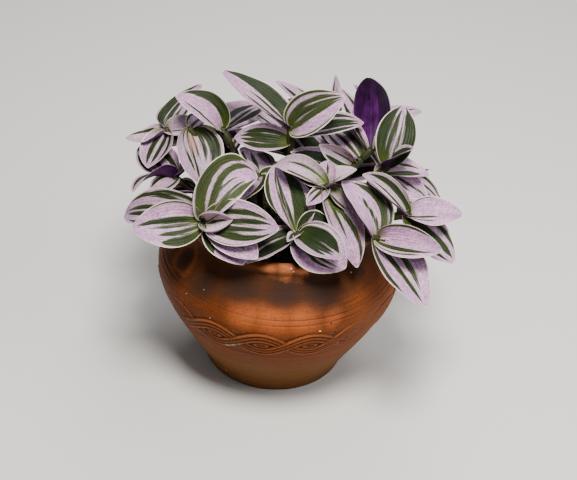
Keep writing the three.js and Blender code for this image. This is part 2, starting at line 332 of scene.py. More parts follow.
# Columns go round the pot. The others are the steps between rows at each place, the height where the
# grooves' steps end and the height where the lip's begin
potSteps = {
    "columns": 600, "plain": 2.6, "inside": 9.0, "braid": 0.44,
    "grooves": 0.5, "groovesTo": 90.0, "lip": 1.0, "lipFrom": 104.0,
}
braid = {
    "height": 65.6,
    "waves": 8,
    "turn": -5.0,
    "swing": 6.3,
    "halfWidth": 3.8,
    "depth": 0.95,
    "overlap": 0.2,
    "almond": (5.4, 2.4),
    "worn": ((47.0, 15.0, 0.8), (-64.0, 15.0, 0.85)),
    "band": (51.5, 77.0),
}
# Each groove: height, half width and depth
grooves = (
    (85.0, 0.45, 0.45), (81.8, 0.4, 0.4), (79.2, 0.35, 0.15), (88.4, 0.4, 0.1), (53.4, 0.45, 0.4),
)
# Marks of turning: rings of two sizes that drift as they go round, shallow dents, and how much of the
# grooves fades, and how far apart
turned = {
    "rings": 0.06, "ringCell": 1.3, "ringDrift": 0.02, "fineShare": 0.6, "fineCell": 0.7,
    "fineDrift": 0.03, "dents": 0.05, "dentCell": 9.0, "fadeCell": 22.0, "fade": 0.25,
}
soilTop = 101.0


def pocketOutline(t, floor):
    # radius and height down the pot's inside, from the soil's top out to the belly and in to the floor
    p = potShape
    widest = (p["bellyRadius"] - p["wall"], p["bellyHeight"])
    return [
        bezier((p["mouthRadius"], soilTop), *p["pocketPulls"], widest, t),
        bezier(widest, *p["pocketLowPulls"], (p["footRadius"] - p["wall"], floor), t),
    ]


def potOutline():
    # radius and height along the pot from the middle of its foot, up the outside, over the lip and
    # down the inside to the middle of its floor, and whether each point is inside
    p = potShape
    t = np.linspace(0, 1, 400)
    corner = np.linspace(-np.pi / 2, 0, 12)
    turn = np.linspace(-np.pi / 3, np.pi, 160)
    foot = p["footRadius"] - p["footRound"]
    widest = (p["bellyRadius"], p["bellyHeight"])
    outer = np.concatenate([
        np.stack([np.linspace(p["lidRadius"], foot, 60), np.zeros(60)], -1),
        np.stack([foot + p["footRound"] * np.cos(corner), p["footRound"] * (1 + np.sin(corner))], -1),
        bezier((p["footRadius"], p["footRound"]), *p["bellyPulls"], widest, t),
        bezier(widest, *p["shoulderPulls"], (p["neckRadius"], p["neckHeight"]), t),
        np.stack([
            p["neckRadius"] - p["lipInset"] + p["lipRadius"] * np.cos(turn),
            p["lipHeight"] + p["lipRadius"] * np.sin(turn),
        ], -1),
    ])
    floor = np.linspace(p["footRadius"] - p["wall"], p["lidRadius"], 60)
    inner = pocketOutline(t, p["floor"]) + [np.stack([floor, np.full(60, p["floor"])], -1)]
    outline = np.concatenate([outer, *inner])
    return outline, np.arange(len(outline)) >= len(outer)


def potRows():
    # the outline cut again with short steps where the braid and the grooves are
    outline, inside = potOutline()
    step = np.linalg.norm(np.diff(outline, axis=0), axis=1)
    radius, height = outline[1:, 0], outline[1:, 1]
    outside = ~inside[1:]
    low, high = braid["band"]
    size = np.full(len(step), potSteps["plain"])
    size[(height > potSteps["lipFrom"]) & outside] = potSteps["lip"]
    size[(height >= high) & (height < potSteps["groovesTo"]) & outside] = potSteps["grooves"]
    size[(height > low) & (height < high) & outside] = potSteps["braid"]
    size[inside[1:] | (radius < potShape["reliefRadius"])] = potSteps["inside"]
    count = np.concatenate([[0], np.cumsum(step / size)])
    rows = np.linspace(0, count[-1], int(count[-1]))
    radius, level = (np.interp(rows, count, outline[:, axis]) for axis in (0, 1))
    return radius, level, np.interp(rows, count, inside.astype(float))


def ridges(distance):
    # three round ridges side by side across a strand, with deep lines between them
    across = np.clip(distance / braid["halfWidth"], -1, 1)
    return 0.1 + 0.9 * np.abs(np.cos(1.5 * np.pi * across)) ** 0.55


def braidRelief(angle, level):
    # two strands that swing as opposite sine waves; at each crossing the one on top alternates, and
    # a small almond with a line round it stands in each eye between them. Two places are worn down
    phase = braid["waves"] * (angle - np.radians(braid["turn"])) + 0.5 * np.pi
    drop = level - braid["height"]
    slope = braid["swing"] * braid["waves"] / potShape["bellyRadius"] * np.cos(phase)
    lean = np.sqrt(1 + slope ** 2)
    relief = np.zeros(np.broadcast(phase, drop).shape)
    for sign in (1, -1):
        distance = (drop - sign * braid["swing"] * np.sin(phase)) / lean
        strand = ridges(distance) + sign * braid["overlap"] * np.cos(phase)
        relief = np.where(np.abs(distance) < braid["halfWidth"], np.maximum(relief, strand), relief)
    along = potShape["bellyRadius"] / braid["waves"] * np.cos(phase)
    halfLength, halfHeight = braid["almond"]
    inner = np.sqrt((along / halfLength) ** 2 + (drop / halfHeight) ** 2)
    almond = np.where(inner < 1, 0.15 + 0.6 * np.abs(np.cos(1.5 * np.pi * inner)) ** 0.6, 0)
    left = 1.0
    for place, spread, share in braid["worn"]:
        away = (np.degrees(angle) - place + 180) % 360 - 180
        left = left * (1 - share * np.exp(-(away / spread) ** 2))
    return braid["depth"] * left * np.maximum(relief, almond)


def potRelief(angle, level, outside):
    # the braid, less a bell-shaped dip for each groove, and the marks of turning
    relief = braidRelief(angle, level)
    around = potShape["bellyRadius"] * angle
    for height, width, depth in grooves:
        kept = 1 - turned["fade"] + turned["fade"] * smoothNoise(around, height, turned["fadeCell"], 6)
        relief = relief - depth * kept * np.exp(-((level - height) / width) ** 2)
    rings = smoothNoise(level, turned["ringDrift"] * around, turned["ringCell"], 3)
    fine = smoothNoise(level, turned["fineDrift"] * around, turned["fineCell"], 4)
    relief = relief + turned["rings"] * (rings + turned["fineShare"] * fine)
    relief = relief + turned["dents"] * smoothNoise(around, level, turned["dentCell"], 5)
    return relief * outside


def potPoints():
    # Each point moves by its relief at right angles to the outline, and turns from the front towards
    # +X. Its radius also sways with the sine of twice the angle, more so higher up. The second result
    # is how far a point lies below the mean relief of 20 points around it
    radius, level, inside = potRows()
    angle = turns(potSteps["columns"])[None, :]
    outside = np.clip(1 - inside, 0, 1)[:, None] * (radius[:, None] > potShape["reliefRadius"])
    relief = potRelief(angle, level[:, None], outside)
    alongRadius, alongLevel = np.gradient(radius), np.gradient(level)
    length = np.hypot(alongRadius, alongLevel)
    away = radius[:, None] + relief * (alongLevel / length)[:, None]
    high = np.maximum(level[:, None] - relief * (alongRadius / length)[:, None], 0.0)
    sway = 1 + potShape["sway"] * np.sin(2 * angle + 0.6) * (level[:, None] / potShape["top"]) ** 2
    points = np.stack([away * sway * np.sin(angle), -away * sway * np.cos(angle), high], -1)
    around = [(down, beside) for down in (-3, -1, 0, 1, 3) for beside in (-2, -1, 1, 2)]
    near = sum(np.roll(relief, shift, (0, 1)) for shift in around)
    return points, near / len(around) - relief


# Marks in the clay (lit and the lip's highlight are painted light): degrees from the front towards +X,
# height and size in millimetres
potMarks = {
    "soot": (
        (-60, 95, 10), (-40, 92, 17), (-19, 97, 20), (5, 98, 18), (26, 95, 23), (53, 99, 7),
        (150, 94, 24), (215, 72, 20),
    ),
    "halo": ((-60, 95, 13.5),),
    "haloMiddle": ((-60, 95, 10),),
    "spared": ((-62, 93, 34), (66, 90, 22)),
    "lit": ((-14, 86, 17), (0, 86, 22), (14, 86, 20), (28, 84, 10)),
    "paintedLipHighlight": ((-4, 111, 8), (5, 111, 9), (14, 111, 8)),
    "smear": ((-15, 64, 3.4), (-18, 61, 3.4), (-21, 58, 3)),
    "lime": (
        (-14.6, 70, 0.7), (-15.4, 69.6, 0.5), (-21, 57, 0.8), (21.5, 77, 0.7), (32, 61.5, 0.7),
        (-30, 77, 0.4), (-38, 90, 0.35), (-46, 83, 0.4), (8, 113, 0.6), (9.5, 111.5, 0.5),
        (47, 101, 0.6), (-36, 9, 0.6), (75, 66, 0.6), (120, 80, 0.8), (190, 62, 0.9), (255, 88, 0.7),
    ),
    "pits": (
        (-37.6, 56, 1.1), (-36, 55.2, 1.0), (-34, 53.6, 0.6), (-46, 74.6, 0.7), (-69.6, 71, 0.8),
        (-55, 87, 0.6), (29, 73.4, 0.9), (17, 66.4, 1.3), (27, 81, 0.7), (-52, 79, 0.6),
        (98, 70, 0.9), (160, 84, 0.8), (235, 60, 0.9),
    ),
}
clayPaints = {
    "shade": (0.080, 0.017, 0.002), "body": (0.148, 0.036, 0.006), "cloud": (0.156, 0.038, 0.007),
    "paintedLitSide": (0.235, 0.062, 0.014), "oliveFoot": (0.125, 0.056, 0.013),
    "turningLine": (0.055, 0.013, 0.003), "paintedLitStrip": (0.355, 0.084, 0.020),
    "sand": (0.27, 0.09, 0.03), "sootAndShade": (0.040, 0.015, 0.005), "halo": (0.23, 0.062, 0.015),
    "soot": (0.025, 0.013, 0.009), "paintedLipHighlight": (0.40, 0.125, 0.045), "crevice": (0.022, 0.006, 0.002),
    "wornRidgeAndHighlight": (0.34, 0.10, 0.028), "darkGrain": (0.030, 0.011, 0.004),
    "smearLow": (0.045, 0.038, 0.010), "smearHigh": (0.36, 0.32, 0.20), "lime": (0.62, 0.57, 0.48),
    "pit": (0.012, 0.006, 0.004),
}


def clayMarks(place, kind, edge, ragged):
    # the strongest of some round marks on the pot's outside, each fading towards its ragged edge
    outline = potOutline()[0]
    outer = outline[:np.argmax(outline[:, 1])]
    strongest = 0.0
    for turn, height, size in potMarks[kind]:
        radius = np.interp(height, outer[:, 1], outer[:, 0])
        angle = np.radians(turn)
        spot = np.array([radius * np.sin(angle), -radius * np.cos(angle), height]) * mm
        sockets = {0: place, 1: spot}
        away = addNode(place.id_data, "VectorMath", sockets, operation="DISTANCE").outputs["Value"]
        mark = ease(plus(away, ragged), size * mm, size * mm * edge)
        strongest = maths("MAXIMUM", mark, strongest)
    return strongest


def clayMaterial():
    # Turned clay: lighter and darker rings, olive low down, painted light on the right side, a painted
    # lit strip round the belly, a dark band of soot and painted shade under the lip, a painted highlight
    # on the lip, and pale or dark marks. Hollow is how deep a point lies
    material, tree = newMaterial("weatheredClay")
    place = objectPlace(tree)
    parts = addNode(tree, "SeparateXYZ", {"Vector": place}).outputs
    side, level = parts["X"], parts["Z"]
    around = addNode(tree, "Mapping", {"Vector": place, "Scale": (14.0, 14.0, 420.0)}).outputs[0]
    turning = grain(around, 1.0, 4.0, 0.6)
    clouds = grain(place, 22.0, 4.0, 0.55)
    patches = grain(place, 60.0, 5.0, 0.6)
    speckle = grain(place, 900.0, 2.0, 0.6)
    hollow = field(tree, "hollow")
    drift = aboutZero(patches, 0.014)
    rough = aboutZero(speckle, 0.0018)
    # painted light: a lighter band round the belly, lit below the painted shade under the lip
    paintedLitBand = times(ease(level, 0.070, 0.082), ease(level, 0.096, 0.09))
    paintedLitBand = times(paintedLitBand, clayMarks(place, "lit", 0.1, drift))
    # soot together with painted shade: the band under the lip is darkened as if shaded by the leaves
    # above, reaching lower at the left and lighter where spared
    edge = plus(plus(level, drift), ease(side, -0.02, -0.06, 0.0, 0.007))
    sootAndShade = times(ease(edge, 0.088, 0.096), ease(level, 0.113, 0.108))
    spared = clayMarks(place, "spared", 0.4, drift)
    sootAndShade = times(sootAndShade, ease(spared, 0.0, 1.0, 0.78, 0.45))
    halo = clayMarks(place, "halo", 0.8, drift)
    halo = maths("SUBTRACT", halo, clayMarks(place, "haloMiddle", 0.7, drift), clamp=True)
    pits = clayMarks(place, "pits", 0.5, rough)
    smear = mixed(ease(hollow, 0.06, -0.12), clayPaints["smearLow"], clayPaints["smearHigh"])
    body = mixed(ease(turning, 0.3, 0.7), clayPaints["shade"], clayPaints["body"])
    body = coats(body, {**clayPaints, "smear": smear}, (
        (clouds, 0.42, 0.7, 0.8, "cloud"),
        # painted light: the pot's right side (+X) made lighter where more light falls
        (side, 0.02, 0.07, 0.45, "paintedLitSide"),
        (level, 0.052, 0.03, 0.7, "oliveFoot"),
        (turning, 0.54, 0.64, 0.5, "turningLine"),
        (paintedLitBand, 1.0, "paintedLitStrip"),
        (speckle, 0.44, 0.28, 0.3, "sand"),
        (sootAndShade, 1.0, "sootAndShade"),
        (halo, 0.6, "halo"),
        (clayMarks(place, "soot", 0.1, drift), 0.75, "soot"),
        # painted highlight: lighter spots on the front of the lip
        (clayMarks(place, "paintedLipHighlight", 0.1, drift), 1.0, "paintedLipHighlight"),
        (hollow, 0.03, 0.3, 0.85, "crevice"),
        # raised ridges lighter: wear, with a painted highlight on the braid's crests
        (hollow, -0.05, -0.3, 0.6, "wornRidgeAndHighlight"),
        (speckle, 0.54, 0.74, 0.6, "darkGrain"),
        (clayMarks(place, "smear", 0.2, times(drift, 0.6)), 0.7, "smear"),
        (clayMarks(place, "lime", 0.5, rough), 1.0, "lime"),
        (pits, 1.0, "pit"),
    ))
    height = plus(times(turning, 0.6), times(speckle, 0.6))
    height = maths("SUBTRACT", height, pits)
    roughness = ease(clouds, 0.3, 0.7, 0.55, 0.72)
    return finished(material, body, roughness, height, (0.55, 0.0005), 0.1)


def makePot():
    points, hollow = potPoints()
    shell = closedShell(points, {"hollow": hollow})
    pot = makePiece("clayPot", [shell], [clayMaterial()], 60)
    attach(pot, "root")
    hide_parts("pot")


makePot()
print("pot made")


# Soil: a lumpy bed with crumbs on it, in the pot

# Each size of lumps: cell, share of the height and seed
soilBed = {
    "gap": 0.35, "sink": 1.2, "rings": 46, "columns": 180, "lidRadius": 0.3, "height": 1.1,
    "lumps": ((7.0, 1.0, 11), (2.6, 0.5, 12), (1.2, 0.3, 13)),
}
crumbs = {
    "count": 460, "small": 0.7, "large": 2.3, "spread": 53.5, "sink": 0.8, "squash": 0.7,
    "rings": 6, "sides": 8, "roughness": 0.25, "seed": 21,
}
soilPaints = {
    "dark": (0.012, 0.008, 0.006), "light": (0.05, 0.032, 0.021), "paleCrumb": (0.12, 0.085, 0.055),
    "sand": (0.16, 0.12, 0.085),
}


def soilPoints():
    # the top is a disc of rings with lumps on it; the side and bottom follow the pot's inside
    bed = soilBed
    top = np.linspace(bed["lidRadius"], potShape["mouthRadius"] - bed["gap"], bed["rings"])
    side = np.concatenate(pocketOutline(np.linspace(0.08, 1, 10), potShape["floor"] + bed["gap"]))
    radius = np.concatenate([top, side[:, 0] - bed["gap"], [bed["lidRadius"]]])
    level = np.concatenate([np.full(len(top), soilTop - bed["sink"]), side[:, 1], side[-1:, 1]])
    angle = turns(bed["columns"])
    x, y = radius[:, None] * np.cos(angle), radius[:, None] * np.sin(angle)
    lumps = sum(share * smoothNoise(x, y, cell, seed) for cell, share, seed in bed["lumps"])
    onTop = (np.arange(len(radius)) < len(top))[:, None]
    return np.stack([x, y, level[:, None] + bed["height"] * lumps * onTop], -1)


def crumbShells():
    # each crumb is a small ball of rings: its radius is rough from point to point, and it is stretched
    # by shares of its own along x, y and z, and squashed
    rng = np.random.default_rng(crumbs["seed"])
    count, rings, sides = crumbs["count"], crumbs["rings"], crumbs["sides"]
    spread = crumbs["spread"] * np.sqrt(rng.uniform(0, 1, count))
    heading = rng.uniform(0, 2 * np.pi, count)
    level = np.full(count, soilTop - crumbs["sink"])
    middle = np.stack([spread * np.cos(heading), spread * np.sin(heading), level], -1)
    size = crumbs["small"] + (crumbs["large"] - crumbs["small"]) * rng.uniform(0, 1, count) ** 2.5
    polar = np.linspace(0.15, np.pi - 0.15, rings)[None, :, None]
    around = turns(sides)[None, None, :]
    rough = 1 + crumbs["roughness"] * rng.uniform(-1, 1, (count, rings, sides))
    stretch = rng.uniform(0.6, 1.5, (count, 1, 1, 3)) * (1, 1, crumbs["squash"])
    ball = np.stack([
        np.sin(polar) * np.cos(around), np.sin(polar) * np.sin(around), np.cos(polar) + 0 * around,
    ], -1) * rough[..., None] * stretch * size[:, None, None, None]
    tone = rng.uniform(0, 1, count)
    return [closedShell(ball[i] + middle[i], {"tone": tone[i]}) for i in range(count)]


def soilMaterial():
    material, tree = newMaterial("pottingSoil")
    place = objectPlace(tree)
    lumps = grain(place, 260.0, 5.0, 0.65)
    fine = grain(place, 1500.0, 2.0, 0.5)
    colour = mixed(ease(lumps, 0.35, 0.65), soilPaints["dark"], soilPaints["light"])
    colour = coats(colour, soilPaints, (
        (field(tree, "tone"), 0.86, 0.96, 1.0, "paleCrumb"),
        (fine, 0.64, 0.7, 1.0, "sand"),
    ))
    height = plus(lumps, times(fine, 0.4))
    roughness = ease(lumps, 0.3, 0.7, 0.98, 0.8)
    return finished(material, colour, roughness, height, (0.8, 0.0008), 0.5)


def makeSoil():
    bed = closedShell(soilPoints(), {"tone": 0.4})
    soil = makePiece("soilBed", [bed] + crumbShells(), [soilMaterial()], 50)
    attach(soil, "root")
    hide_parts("soil")


makeSoil()
print("soil made")


# Leaves: a leaf grows at a share of its stem's length (1 is the top) and points along a heading,
# from +X towards +Y, and a rise above the horizontal. Roll turns its face about its own line, bow
# lifts the midrib and side bends it, as shares of the length. Cup is the half angle of its cross
# section in radians, clasp is added to it at the base, and a higher blunt draws the tip out.
# A band is a green stripe, in hundredths: its middle from the left edge -100 to the right edge 100,
# its half width, how far up the leaf it reaches, and how much its middle drifts from base to tip. A
# leaf without bands draws its own. Pale and deep shift a leaf's colours: deep darkens them, partly a
# deeper colour and partly painted shade on leaves low in the plant or behind others, and a deep below
# 0 lightens its greens. Scorch is a brown patch: its place across and along, and its size.
# A stem's shade is painted shade, added to its leaves' deep; its fresh is how yellow-green their
# bases are, and a bud has a heading, a rise and a length.

plainLeaf = {
    "at": 1.0, "roll": 0.0, "bow": 0.1, "side": 0.0, "cup": 0.45, "clasp": 1.1, "blunt": 0.8,
    "bands": None, "pale": 0.0, "deep": 0.0, "scorch": None,
}
leafFinish = {
    "waist": 0.55,
    "reach": 0.996,
    "columns": 32,
    "rows": 42,
    "crowding": 0.06,
    "footWidth": 1.5,
    "leastWidth": 0.25,
    "thickness": 0.44,
    "keel": 0.55,
    "keelWidth": 0.07,
    "wave": 0.32,
    "wavesRight": 2.3,
    "wavesLeft": 2.9,
    "fullWaveLength": 40.0,
    "seed": 5,
}


def leaf(heading, rise, length, width, **more):
    return {**plainLeaf, "heading": heading, "rise": rise, "length": length, "width": width, **more}


def leafyStem(root, top, leaves, shade=0.0, fresh=0.0, buds=()):
    return {"root": root, "top": top, "leaves": leaves, "shade": shade, "fresh": fresh, "buds": buds}


stems = {
    "front_left": leafyStem((-27, -24), (-48, -42, 131), [
        leaf(200, 2, 45, 31, roll=-51, bow=0.03, bands=[
            (-75, 20, 62, -5), (-25, 9, 64, -30), (-12, 2, 78), (7, 11, 95, 22), (97, 5, 78)]),
        leaf(155, -16, 67, 29, at=0.8, roll=-39, bow=0.28, bands=[
            (-75, 10, 82), (-30, 13, 90, 10), (12, 10, 93, 10), (45, 10, 86, 50), (85, 8, 60)]),
        leaf(341, 11, 51, 32, roll=38, bow=-0.02, bands=[
            (-40, 9, 84, -25), (-5, 10, 90, -30), (15, 10, 88), (40, 15, 95, 25), (97, 4, 60)]),
        leaf(46, 19, 47, 30, roll=52, bow=0.31, side=-0.39, blunt=0.7, deep=-0.35, bands=[
            (-36, 27, 97, -80), (36, 15, 97, -100), (28, 3, 70, -15), (50, 3.5, 78), (62, 12, 95, 22)]),
        leaf(345, 18, 20, 28, roll=62, cup=2, clasp=0.8, pale=0.9, bands=[(2, 7, 80), (-75, 12, 90)]),
        leaf(304, -14, 36, 32, at=0.7, roll=18, bow=0.11, bands=[(80, 28, 60, 20), (-30, 6, 50)]),
        leaf(317, -6, 42, 26, at=0.8, roll=25, bow=0.04, bands=[(-50, 10, 80), (10, 10, 80)]),
    ]),
    "front": leafyStem((8, -28), (11, -45, 128), [
        leaf(108, 16, 58, 33, roll=7, bow=0.01, bands=[
            (-88, 13, 85), (-22, 4, 94, -17), (-6, 6, 93, -17), (28, 26, 98, 42)]),
        leaf(318, 3, 36, 24, roll=12, bow=0.05, deep=1.0, bands=[
            (-55, 32, 90), (-8, 10, 84), (12, 12, 88, 10), (25, 13, 76, 35)]),
        leaf(242, 11, 13, 7, bow=0.19, bands=[(0, 50, 90)]),
        leaf(332, -16, 37, 33, at=0.85, roll=41, bow=0.12, bands=[
            (10, 5, 88, 30), (25, 5, 86, 40), (-70, 12, 70)]),
        leaf(6, -7, 25, 32, at=0.9, roll=20, bow=0.14, deep=1.0, bands=[
            (-80, 20, 95), (-33, 20, 97), (15, 22, 97), (64, 18, 90)]),
        leaf(215, -14, 37, 24, at=0.8, roll=3, bow=0.08, deep=1.0, bands=[(-25, 40, 90), (50, 20, 85)]),
    ]),
    "heart": leafyStem((16, -4), (27, -12, 143), [
        leaf(91, 35, 18, 15, roll=-9, bow=0.14, cup=0.9, bands=[
            (0, 5, 94), (12, 3.5, 92), (-60, 10, 60)]),
        leaf(17, 31, 22, 18, roll=-7, bow=0.12, pale=0.8, bands=[(15, 10, 60)]),
        leaf(154, 6, 37, 19, roll=-27, bow=0.31, cup=0.9, pale=0.5, bands=[(-60, 12, 70), (30, 6, 80)]),
        leaf(178, 16, 22, 14, roll=-9, bow=0.02, bands=[(-50, 20, 85, 30), (50, 7, 60)]),
        leaf(243, 2, 26, 11, roll=-18, bow=-0.02, bands=[(5, 16, 92), (50, 10, 78, 35)]),
        leaf(299, -31, 56, 27, at=0.9, roll=-8, scorch=(-0.72, 0.6, 0.13), bands=[
            (20, 12, 98, -110), (25, 7, 70, -20), (72, 6, 50)]),
        leaf(331, -27, 25, 16, at=0.95, roll=2, bow=0.08, bands=[(60, 20, 85)]),
    ], shade=0.1, fresh=1.0),
    "right_front": leafyStem((38, -24), (61, -38, 124.5), [
        leaf(335, 10, 43, 24, roll=46, bow=0.15, cup=0.8, bands=[
            (40, 9, 90, 5), (72, 2, 72), (-93, 8, 80)]),
        leaf(306, -18, 56.7, 37.5, at=0.93, roll=-7, bow=0.03, bands=[
            (-37, 7, 82, -2), (2, 10, 95, -6), (62, 15, 76, 20)]),
        leaf(128, 33, 42, 35, at=0.9, roll=14, bow=0.24, bands=[
            (35, 4, 70, -70), (35, 3, 56, -45), (60, 15, 95, 3), (94, 8, 90)]),
    ], buds=((306, 33, 9.5), (322, 24, 11))),
    "right": leafyStem((42, -12), (79, -25, 135), [
        leaf(356, 9, 34, 24, roll=19, bow=0.03, bands=[(20, 5, 57), (48, 3, 46), (-95, 6, 45)]),
        leaf(322, -21, 44, 33, at=0.93, roll=2, bow=-0.02, bands=[
            (-55, 8, 87, -40), (-10, 20, 94, -35), (30, 17, 93)]),
        leaf(141, 18, 40, 19, roll=-16, bow=0.18, cup=1.2, pale=0.5, deep=0.5, bands=[
            (45, 20, 90, 10), (-10, 8, 80), (-60, 12, 85)]),
        leaf(23, -25, 38, 25, at=0.85, roll=2, bow=0.18),
    ]),
    "right_crown": leafyStem((30, 14), (54, 25, 149), [
        leaf(309, 100, 51, 26, roll=-47, bow=0.3, bands=[(-70, 35, 95), (-12, 7, 85), (12, 4, 70)]),
        leaf(121, 29, 50, 16, roll=3, bow=0.07, bands=[(-60, 28, 75), (45, 15, 97)]),
        leaf(138, 19, 36, 27, at=0.8, roll=-7, bow=0.07, bands=[
            (-50, 12, 85), (0, 8, 90), (45, 12, 85)]),
        leaf(210, 38, 36, 16, at=0.7, roll=-89, bow=-0.09, cup=1, pale=0.8, bands=[
            (-60, 20, 75), (10, 5, 60)]),
        leaf(194, 23, 44, 22, at=0.6, bow=0.06, deep=1.0, bands=[(-10, 70, 97)]),
    ], shade=0.3),
    "right_upper": leafyStem((44, 6), (65, 13, 145), [
        leaf(74, 39, 44, 28, roll=15, bow=0.11, deep=0.35, bands=[
            (-66, 27, 97), (-20, 10, 95), (2, 2.5, 75), (20, 4, 90), (62, 28, 97)]),
        leaf(340, -27, 40, 25, at=0.9, roll=15, bow=-0.03, bands=[
            (-10, 7, 87, -60), (0, 5, 62, -20), (50, 10, 80)]),
        leaf(334, 50, 26, 20, deep=0.7, bands=[(-20, 50, 95)]),
        leaf(11, 0, 36, 24, at=0.75, roll=3, bow=0.17, bands=[(40, 35, 80), (-40, 10, 80)]),
    ]),
    "crown": leafyStem((2, 14), (2, 20, 165), [
        leaf(152, 24, 59, 29, roll=2, bow=0.03, deep=0.6, bands=[
            (-30, 6, 64, -20), (2, 5, 60, 10), (52, 30, 98, 22)]),
        leaf(352, 41, 43, 29, roll=52, bow=0.18, deep=-0.35, bands=[
            (-94, 12, 93), (-50, 12, 97), (-21, 12, 98), (8, 11, 98), (88, 6, 85)]),
        leaf(17, 6, 49, 18, at=0.85, roll=31, bow=0.21, deep=0.5, bands=[
            (-60, 15, 88), (-12, 16, 93), (26, 16, 94), (72, 16, 86)]),
        leaf(170, -5, 37, 20, at=0.75, roll=-42, bow=0.14, bands=[
            (-45, 20, 82, -20), (-12, 18, 88, -10), (16, 14, 90, 10), (50, 14, 84)]),
        leaf(80, 15, 34, 26, at=0.9),
    ], shade=0.15),
    "left_crown": leafyStem((-24, 22), (-43, 36, 150), [
        leaf(173, 33, 38, 27, roll=-18, bow=0.24, deep=0.15, bands=[
            (-75, 6, 95, 50), (62, 26, 90, 25)]),
        leaf(53, 4, 40, 27, deep=0.7, bands=[(-30, 15, 85), (10, 10, 85), (60, 28, 80)]),
        leaf(111, -73, 31, 24, at=0.9, roll=6),
        leaf(65, -7, 36, 24, at=0.65, roll=-21, bow=0.22),
    ], shade=0.2),
    "left_far": leafyStem((-39, 20), (-81, 45, 141), [
        leaf(69, 10, 54, 22, roll=-3, bow=-0.18, side=-0.2, deep=0.5, bands=[
            (-60, 25, 97, -10), (-10, 12, 85, -20), (20, 8, 65), (70, 10, 80)]),
        leaf(190, -11, 28, 23, roll=7, bow=-0.15, pale=0.4, bands=[(50, 10, 90, 40), (-40, 5, 60)]),
        leaf(255, -18, 34, 26, roll=18, bow=-0.04, bands=[
            (-60, 10, 85), (-15, 13, 92, 10), (30, 12, 92, 20)]),
        leaf(346, 18, 27, 18, roll=25, pale=0.8, bands=[(30, 6, 60)]),
        leaf(137, -32, 38, 25, at=0.7, roll=19, bow=0.15),
    ], shade=0.35),
    "left_upper": leafyStem((-38, 16), (-64, 30, 152), [
        leaf(293, -41, 38, 36, roll=-12, bow=0.12, pale=0.3, deep=0.4, scorch=(0.12, 0.25, 0.2), bands=[
            (-82, 7, 70), (-56, 9, 82), (-30, 6, 64), (2, 3.5, 70, -10), (32, 5, 90, -20),
            (64, 5, 95, -45)]),
        leaf(60, 0, 26, 16),
    ], shade=0.25),
    "left": leafyStem((-44, 2), (-71, 12, 125), [
        leaf(229, 9, 37, 23, roll=40, bow=0.23),
        leaf(243, 9, 30, 16, roll=-6, bow=0.01, pale=0.3, bands=[(-50, 12, 80), (70, 12, 80)]),
        leaf(132, 4, 42, 27, roll=-19, bow=0.04, bands=[(-75, 8, 85), (-10, 10, 92), (50, 12, 90)]),
        leaf(45, 33, 17, 19, roll=-28, bow=-0.01, bands=[(0, 9, 92)]),
        leaf(159, -30, 36, 24, at=0.6, bow=0.15),
    ], shade=0.45),
    "back_left": leafyStem((-28, 33), (-46, 64, 128), [
        leaf(125, -20, 50, 31, bow=0.2),
        leaf(60, -10, 46, 28, bow=0.15),
        leaf(186, -4, 45, 28, roll=4, bow=0.15),
        leaf(95, -50, 46, 29, at=0.85, bow=0.2),
    ], shade=0.4),
    "back": leafyStem((8, 36), (22, 54, 145), [
        leaf(90, -20, 50, 31, bow=0.2),
        leaf(70, 60, 38, 20, roll=80, pale=0.5),
        leaf(160, 38, 45, 28, roll=14, bow=0.08),
        leaf(74, -58, 46, 29, at=0.85, bow=0.2),
        leaf(129, -3, 68, 23, at=0.65, roll=-30, bow=0.29),
    ], shade=0.4),
    "back_right": leafyStem((30, 31), (52, 60, 135), [
        leaf(60, -20, 50, 31, bow=0.2),
        leaf(13, 29, 44, 28, bow=0.15, bands=[(-50, 12, 90), (10, 10, 92), (60, 8, 80)]),
        leaf(197, 75, 46, 28, bow=0.15),
        leaf(90, -50, 46, 29, at=0.85, roll=9, bow=0.2),
    ], shade=0.4),
    "right_low": leafyStem((36, 16), (73, 25, 126), [
        leaf(5, -36, 46, 30, bow=0.2),
        leaf(60, -15, 44, 28, bow=0.15),
        leaf(108, 4, 40, 26, bow=0.2),
        leaf(325, -35, 38, 25, at=0.85, bow=0.15),
    ], shade=0.3),
    "inner_left": leafyStem((-14, 0), (-17, 8, 134), [
        leaf(106, 7, 30, 26, roll=17),
        leaf(338, -8, 30, 22, roll=8, bow=0.09),
        leaf(250, 0, 34, 22),
        leaf(181, 6, 33, 24, at=0.9, roll=-9, bow=0.06),
    ], shade=0.6),
    "inner_right": leafyStem((24, 22), (24, 24, 130), [
        leaf(139, 26, 42, 27, bow=0.13, bands=[(-50, 30, 95), (40, 35, 95)]),
        leaf(34, -8, 49, 23, roll=44, bow=0.09, bands=[(-50, 35, 95), (40, 30, 95)]),
        leaf(170, 13, 45, 22, roll=11, bow=0.12, bands=[(-45, 35, 96), (45, 38, 96)]),
    ], shade=0.6),
}


def stemLine(stem, t):
    # a stem rises straight from the soil and leans out to its top
    foot = np.array([*stem["root"], soilTop], float)
    top = np.array(stem["top"], float)
    height = top[2] - foot[2]
    straight = foot + (0, 0, 0.5 * height)
    lean = foot + 0.65 * (top - foot)
    lean[2] = foot[2] + 0.85 * height
    return bezier(foot, straight, lean, top, t)


